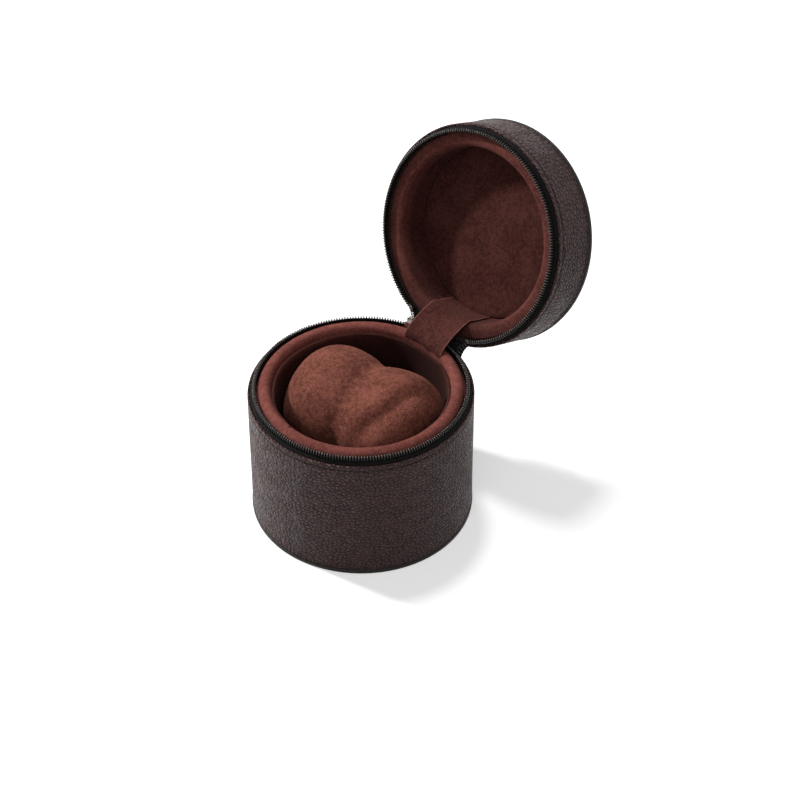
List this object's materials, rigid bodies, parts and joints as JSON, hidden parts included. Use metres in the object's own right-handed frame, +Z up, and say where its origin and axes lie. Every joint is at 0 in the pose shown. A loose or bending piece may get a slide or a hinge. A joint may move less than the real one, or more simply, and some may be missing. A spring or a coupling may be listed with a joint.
{
  "type": "watch travel case",
  "caption": "Round zip-around leather case for one watch, standing open, with a hinged lid, suede lining and a lift-out cushion.",
  "frame": {"origin": "centre of the case's flat underside", "axes": "+Z up out of the base's mouth, +Y towards the hinge, +X to the right seen from the front"},
  "size_m": [0.1004, 0.1596, 0.157],
  "materials": {
    "leather": "satin",
    "binding": "satin",
    "board": "matte",
    "foam": "matte",
    "suede": "matte",
    "zip_tape": "matte",
    "zip_coil": "satin",
    "zip_metal": "gloss"
  },
  "bodies": {
    "base": {"base_leather_wall": "leather", "base_wall_board": "board", "base_bottom_board": "board", "base_bottom_leather": "leather", "base_bottom_binding": "binding", "base_wall_padding": "foam", "base_collar": "suede", "base_collar_foam": "foam", "base_liner": "suede", "base_seat_block": "foam", "base_floor_pad": "suede", "base_zip_tape": "zip_tape", "base_zip_coil": "zip_coil", "base_zip_stops": "zip_metal", "hinge_leather": "leather", "hinge_strap": "suede"},
    "lid": {"lid_leather_wall": "leather", "lid_wall_board": "board", "lid_top_board": "board", "lid_top_leather": "leather", "lid_top_binding": "binding", "lid_wall_padding": "foam", "lid_collar": "suede", "lid_collar_foam": "foam", "lid_liner": "suede", "lid_ceiling_pad": "suede", "lid_zip_tape": "zip_tape", "lid_zip_coil": "zip_coil", "lid_zip_stops": "zip_metal"},
    "cushion": {"cushion_cover": "suede", "cushion_core": "foam"},
    "slider": {"slider_body": "zip_metal", "slider_crown": "zip_metal"},
    "link": {"pull_link": "zip_metal"},
    "tab": {"pull_tab": "leather", "pull_rivet": "zip_metal"}
  },
  "joints": [
    {"name": "lid_hinge", "type": "hinge", "parent": "base", "child": "lid", "pos_m": [0, 0.0479, 0.0676], "axis": [-1, 0, 0], "range_deg": [-111.7, 0], "deforming": ["hinge_leather", "hinge_strap"]},
    {"name": "cushion_lift", "type": "slide", "parent": "base", "child": "cushion", "axis": [0, 0, 1], "range_m": [0, 0.065]},
    {"name": "slider_run", "type": "hinge", "parent": "base", "child": "slider", "pos_m": [0, 0, 0.0676], "axis": [0, 0, 1], "range_deg": [0, 331.2]},
    {"name": "link_swing", "type": "hinge", "parent": "slider", "child": "link", "pos_m": [-0.0126, 0.04906, 0.0676], "axis": [0.9686, 0.2487, 0], "range_deg": [0, 17]},
    {"name": "tab_swing", "type": "hinge", "parent": "link", "child": "tab", "pos_m": [-0.01279, 0.04983, 0.06115], "axis": [0.9686, 0.2487, 0], "range_deg": [0, 40]}
  ]
}
